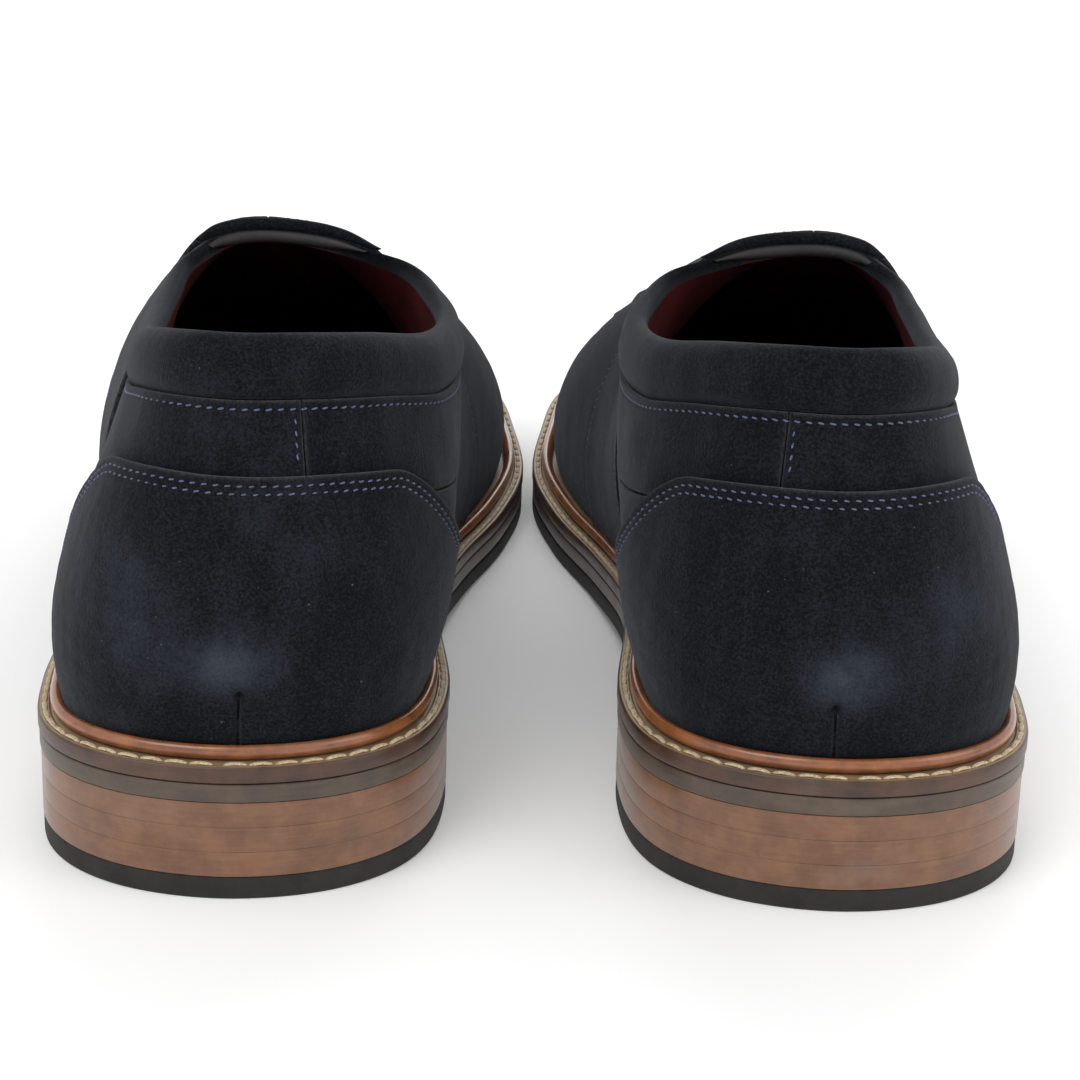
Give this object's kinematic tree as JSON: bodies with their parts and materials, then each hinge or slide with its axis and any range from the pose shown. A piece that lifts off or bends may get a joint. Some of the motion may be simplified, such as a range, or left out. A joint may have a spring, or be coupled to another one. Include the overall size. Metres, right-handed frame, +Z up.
{
  "type": "penny loafers",
  "caption": "Pair of suede slip-on shoes: saddle strap with a slot, padded collar, welted sole, stacked heel with a rubber top piece.",
  "frame": {"origin": "centre of the pair on the floor", "axes": "+Z up, +Y towards the toes, +X towards the right shoe"},
  "size_m": [0.2114, 0.304, 0.0964],
  "materials": {
    "suede": "dark navy suede, short nap, matt",
    "lining": "burgundy lining leather, satin",
    "sock": "near-black sock leather, matt",
    "foam": "open-cell padding foam",
    "board": "fibre board, matt",
    "cork": "granulated cork filler",
    "steel": "spring steel",
    "rand": "glossy tan rand",
    "welt": "brown welt leather, waxed edge",
    "thread": "cream waxed thread",
    "midsole": "grey-brown midsole edge",
    "heel": "stacked heel leather, burnished",
    "rubber": "dark charcoal-brown rubber"
  },
  "bodies": {
    "left_shoe": {"left_counter_cover": "suede", "left_collar_band_lateral": "suede", "left_collar_band_medial": "suede", "left_collar": "suede", "left_collar_foam": "foam", "left_quarter_lateral": "suede", "left_quarter_medial": "suede", "left_vamp": "suede", "left_apron": "suede", "left_tongue": "suede", "left_saddle_strap": "suede", "left_vamp_lining": "lining", "left_quarter_lining": "lining", "left_heel_grip": "lining", "left_counter_stiffener": "board", "left_toe_puff": "board", "left_sock": "sock", "left_insole_board": "board", "left_cork_filler": "cork", "left_shank": "steel", "left_rand": "rand", "left_welt_thread": "thread", "left_welt": "welt", "left_midsole": "midsole", "left_outsole": "rubber", "left_heel_top_piece": "rubber", "left_heel_lift_1": "heel", "left_heel_lift_2": "heel", "left_heel_lift_3": "heel"},
    "right_shoe": {"right_counter_cover": "suede", "right_collar_band_lateral": "suede", "right_collar_band_medial": "suede", "right_collar": "suede", "right_collar_foam": "foam", "right_quarter_lateral": "suede", "right_quarter_medial": "suede", "right_vamp": "suede", "right_apron": "suede", "right_tongue": "suede", "right_saddle_strap": "suede", "right_vamp_lining": "lining", "right_quarter_lining": "lining", "right_heel_grip": "lining", "right_counter_stiffener": "board", "right_toe_puff": "board", "right_sock": "sock", "right_insole_board": "board", "right_cork_filler": "cork", "right_shank": "steel", "right_rand": "rand", "right_welt_thread": "thread", "right_welt": "welt", "right_midsole": "midsole", "right_outsole": "rubber", "right_heel_top_piece": "rubber", "right_heel_lift_1": "heel", "right_heel_lift_2": "heel", "right_heel_lift_3": "heel"}
  },
  "joints": [
    {"name": "right_shoe_lift", "type": "slide", "parent": "left_shoe", "child": "right_shoe", "axis": [0, 0, 1], "range_m": [0, 0.15]}
  ]
}
